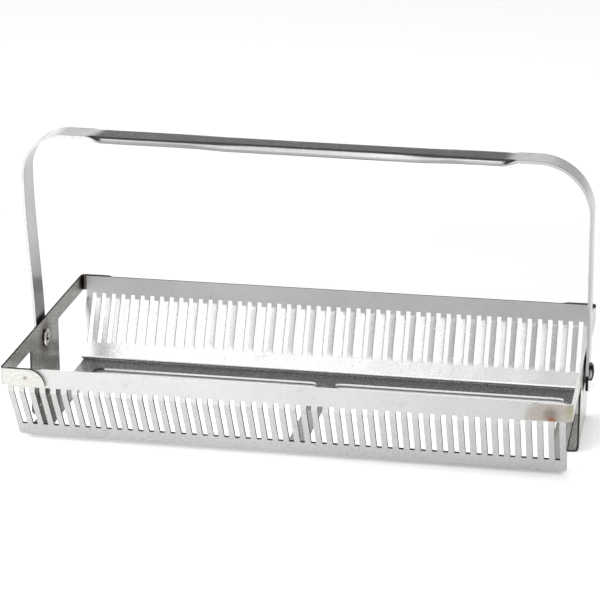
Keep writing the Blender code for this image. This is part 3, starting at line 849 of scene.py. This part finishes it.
def build_handle():
    path = [Vector((x, 0.0, z)) for x, z in bail_path()]
    runs = [0.0]
    for start, end in zip(path, path[1:]):
        runs.append(runs[-1] + (end - start).length)
    total = runs[-1]
    half_width = STRAP_WIDTH / 2
    outline = rounded_rectangle((0.0, -half_width), (total, half_width), STRAP_END_CORNER, 6)
    holes = [circle((run, 0.0), HOLE_RADIUS, 40) for run in (STRAP_END, total - STRAP_END)]
    sheet = blank([outline] + holes)
    crease(sheet, "X", runs[1:-1])
    flange = steps_between(DEEP_FROM - FLANGE_BEND / 2, FLANGE_FROM + FLANGE_BEND / 2, 11)
    crease(sheet, "Y", [0.0] + [way * place for place in flange for way in (-1, 1)])

    def place(x, y):
        """Bends the blank along the path, with the section that it has there."""
        k = 0
        while k < len(path) - 2 and x > runs[k + 1]:
            k += 1
        share = (x - runs[k]) / (runs[k + 1] - runs[k])
        point = path[k].lerp(path[k + 1], share)
        sideways, down = grip_section(point.x, y)
        return Vector((point.x, sideways, point.z - down))

    fold(sheet, place)
    piece_from("handle_strap", sheet, STRAP, handle_materials(), "handle", "strap_steel", "handle")


# ---------------------------------------------------------------- rivets and washers

def turned_piece(name, profile, closed, side, material, slot, node):
    """Turns a profile of (radius, distance from the middle plane) points round the pivot axis."""
    turned = bmesh.new()
    points = [turned.verts.new((distance * side, 0.0, radius)) for radius, distance in profile]
    for start, end in zip(points, points[1:]):
        turned.edges.new((start, end))
    if closed:
        turned.edges.new((points[-1], points[0]))
    bmesh.ops.spin(turned, geom=turned.verts[:] + turned.edges[:], cent=(0, 0, 0), axis=(1, 0, 0),
                   angle=2 * math.pi, steps=TURN_STEPS, use_merge=True)
    bmesh.ops.remove_doubles(turned, verts=turned.verts, dist=0.001 * MM)
    bmesh.ops.recalc_face_normals(turned, faces=turned.faces)
    for vertex in turned.verts:
        vertex.co.z += PIVOT_Z
    mesh = bpy.data.meshes.new(name)
    turned.to_mesh(mesh)
    turned.free()
    mesh.materials.append(material)
    piece = add_object(name, mesh)
    soften(piece, TURNED_ROUNDING)
    finish_piece(piece, "rack", slot, node)


def build_rivet(word, side):
    end = ROLL_FACE_X - ROLL_HEIGHT
    dome_height = DOME_SHARE * HEAD_HEIGHT
    dome = [(HEAD_RADIUS * math.sin(math.radians(a)),
             HEAD_FACE_X + (1.0 - DOME_SHARE) * HEAD_HEIGHT + dome_height * math.cos(math.radians(a)))
            for a in range(0, 91, 6)]
    lip = ROLL_RADIUS - TUBE_RADIUS
    roll = [(TUBE_RADIUS + lip / 2 + lip / 2 * math.cos(math.radians(a)),
             ROLL_FACE_X - ROLL_HEIGHT / 2 - ROLL_HEIGHT / 2 * math.sin(math.radians(a)))
            for a in range(0, 181, 12)]
    profile = (dome + [(HEAD_RADIUS, HEAD_FACE_X), (SHANK_RADIUS, HEAD_FACE_X), (SHANK_RADIUS, ROLL_FACE_X),
                       (ROLL_RADIUS - ROLL_CORNER, ROLL_FACE_X)]
               + roll + [(TUBE_RADIUS, end + TUBE_DEPTH), (0.0, end + TUBE_DEPTH)])
    # Painted shade in the hollow of the rolled end.
    hollow = ((side * end - TUBE_DEPTH, -DARK_HOLLOW, PIVOT_Z - DARK_HOLLOW),
              (side * end + TUBE_DEPTH, DARK_HOLLOW, PIVOT_Z + DARK_HOLLOW))
    # Painted shade on the middle of the head.
    low_x, high_x = sorted((side * HEAD_FACE_X, side * (HEAD_FACE_X + 2 * HEAD_HEIGHT)))
    crown = ((low_x, -DARK_CROWN, PIVOT_Z - DARK_CROWN), (high_x, DARK_CROWN, PIVOT_Z + DARK_CROWN))
    # The left rivet is painted lighter, a painted highlight, and the right one darker, painted shade.
    shade = 0.40 if side > 0 else 0.85
    steel = stainless("rivet_stainless_" + word, shade, roughness=0.26, grain=EVEN, ripple=0.1,
                      shade_boxes=(hollow, crown))
    turned_piece("rivet_turned_" + word, profile, False, side, steel, "rivet_steel_" + word, "rivet_" + word)


def build_washer(word, side):
    inner, outer = WASHER_FACE_X, WASHER_FACE_X + WASHER_THICKNESS
    profile = [(WASHER_RADIUS, outer), (WASHER_RADIUS, inner), (HOLE_RADIUS, inner), (HOLE_RADIUS, outer)]
    # Painted shade: the washers are painted dark for the shade between plate and arm.
    steel = stainless("washer_stainless_" + word, shade=0.30, roughness=0.34, grain=EVEN, ripple=0.1)
    turned_piece("washer_turned_" + word, profile, True, side, steel, "washer_steel_" + word,
                 "washer_" + word)


# ---------------------------------------------------------------- surroundings

def build_floor():
    """A white table; its glow differs from place to place, for what the steel mirrors of it."""
    mesh = bpy.data.meshes.new("table_top")
    corners = rectangle((-TABLE_HALF, -TABLE_HALF), (TABLE_HALF, TABLE_HALF))
    mesh.from_pydata([(x, y, 0.0) for x, y in corners], [], [(0, 1, 2, 3)])
    nodes = new_material("table_white")
    parts = nodes.position()
    left = nodes.spread(parts["X"], *TABLE_LEFT)
    off_wall = nodes.spread(nodes.math("ABSOLUTE", nodes.math("ADD", parts["Y"], -WALL_FOOT_Y)),
                            *WALL_FOOT_REACH)
    before = nodes.spread(parts["Y"], *TABLE_BEFORE)
    share = nodes.math("MULTIPLY", nodes.math("MULTIPLY", left, off_wall), before)
    glow = nodes.math("ADD", nodes.math("MULTIPLY", share, TABLE_LEFT_GLOW), TABLE_GLOW)
    behind = nodes.spread(parts["Y"], *TABLE_BEHIND, 0.0, TABLE_BEHIND_LOSS)
    glow = nodes.math("SUBTRACT", glow, behind)
    far = nodes.spread(parts["Y"], *TABLE_FAR, 0.0, TABLE_BEHIND_LOSS - TABLE_FAR_LOSS)
    glow = nodes.math("ADD", glow, far)
    under = nodes.inside_box(*TABLE_UNDER, TABLE_UNDER_FADE)
    glow = nodes.math("SUBTRACT", glow, nodes.math("MULTIPLY", under, TABLE_UNDER_LOSS))
    right = nodes.math("MULTIPLY", nodes.spread(parts["X"], *TABLE_RIGHT, 0.0, TABLE_RIGHT_LOSS),
                       nodes.spread(parts["Y"], *TABLE_RIGHT_BEFORE))
    glow = nodes.math("SUBTRACT", glow, right, clamp=True)
    nodes.shader.inputs["Base Color"].default_value = (0.86, 0.86, 0.86, 1.0)
    nodes.shader.inputs["Roughness"].default_value = 0.9
    nodes.shader.inputs["Specular IOR Level"].default_value = 0.1
    nodes.shader.inputs["Emission Color"].default_value = (1.0, 1.0, 1.0, 1.0)
    nodes.link(glow, nodes.shader.inputs["Emission Strength"])
    mesh.materials.append(nodes.owner)
    table = add_object("table_top", mesh)


def build_world():
    """A studio: a white sweep behind, a dark ceiling, a softbox up on the front left and a band over it."""
    world = bpy.data.worlds.new("studio")
    bpy.context.scene.world = world
    nodes = Nodes(world)
    parts = nodes.position("Generated")

    def step(axis, ends, low=0.0, high=1.0):
        return nodes.spread(parts[axis], *ends, low, high)

    def times(first, second):
        return nodes.math("MULTIPLY", first, second)

    def plus(first, second):
        return nodes.math("ADD", first, second)

    across = times(step("X", SWEEP_SIDES, SWEEP_LEFT, SWEEP_RIGHT),
                   step("X", SWEEP_FAR_RIGHT, 1.0, SWEEP_FAR_SHARE))
    below = times(step("Z", SWEEP_TOP, 1.0, 0.0), across)
    above = step("Z", SWEEP_TOP, 0.0, DARK_LIGHT)
    sweep = times(plus(below, above), step("Y", BEHIND))
    room = times(step("Z", ROOM_TOP, ROOM_LIGHT, DARK_LIGHT), step("Y", BEHIND, 1.0, 0.0))
    box = times(step("Z", SOFTBOX_LOW), step("Z", SOFTBOX_HIGH, 1.0, 0.0))
    box = times(box, step("X", SOFTBOX_RIGHT, 1.0, SOFTBOX_SPILL))
    box = times(box, step("Y", SOFTBOX_FRONT, SOFTBOX_LIGHT, 0.0))
    rim = times(step("Z", SOFTBOX_HIGH), step("Z", RIM_HIGH, RIM_LIGHT, 0.0))
    rim = times(rim, step("Y", RIM_FRONT, 1.0, 0.0))
    rim = times(rim, plus(step("X", RIM_LEFT, RIM_LEFT_SHARE, 0.0),
                          step("X", RIM_RIGHT, RIM_MIDDLE_SHARE, RIM_RIGHT_SHARE)))
    total = plus(plus(sweep, room), plus(box, rim))

    white = (1.0, 1.0, 1.0, 1.0)
    light = nodes.tree.nodes["Background"]
    light.inputs["Color"].default_value = white
    nodes.link(total, light.inputs["Strength"])
    plain = nodes.add("Background")
    plain.inputs["Color"].default_value = white
    seen = nodes.add("LightPath")
    both = nodes.add("MixShader")
    nodes.link(seen.outputs["Is Camera Ray"], both.inputs["Fac"])
    nodes.link(light.outputs["Background"], both.inputs[1])
    nodes.link(plain.outputs["Background"], both.inputs[2])
    nodes.link(both.outputs["Shader"], nodes.tree.nodes["World Output"].inputs["Surface"])


def build_light(name, place, size, power):
    """A soft lamp that lights the table; the steel mirrors the studio's walls instead of it."""
    data = bpy.data.lights.new(name, "AREA")
    data.shape = "DISK"
    data.size = size
    data.energy = power
    light = add_object(name, data)
    light.location = place
    light.visible_glossy = False
    aim = Vector((0.0, 0.0, 0.0)) - Vector(place)
    light.rotation_euler = aim.to_track_quat("-Z", "Y").to_euler()


def build_camera():
    data = bpy.data.cameras.new("camera")
    data.sensor_width = CAMERA_SENSOR
    data.lens = CAMERA_LENS
    data.clip_start = 0.01
    data.clip_end = 20.0
    camera = add_object("camera", data)
    camera.location = CAMERA_AT
    camera.rotation_euler = (CAMERA_TARGET - CAMERA_AT).to_track_quat("-Z", "Y").to_euler()
    bpy.context.scene.camera = camera


build_camera()
build_world()
build_floor()
build_light("key_light", place=(-0.35, -0.55, 0.50), size=0.5, power=1.5)
build_light("top_light", place=(-0.10, 0.0, 0.80), size=0.6, power=2.4)
build_tray()
build_handle()
for word, side in (("left", -1), ("right", 1)):
    build_end_plate(word, side)
    build_rivet(word, side)
    build_washer(word, side)
bpy.context.scene.view_settings.view_transform = "Standard"
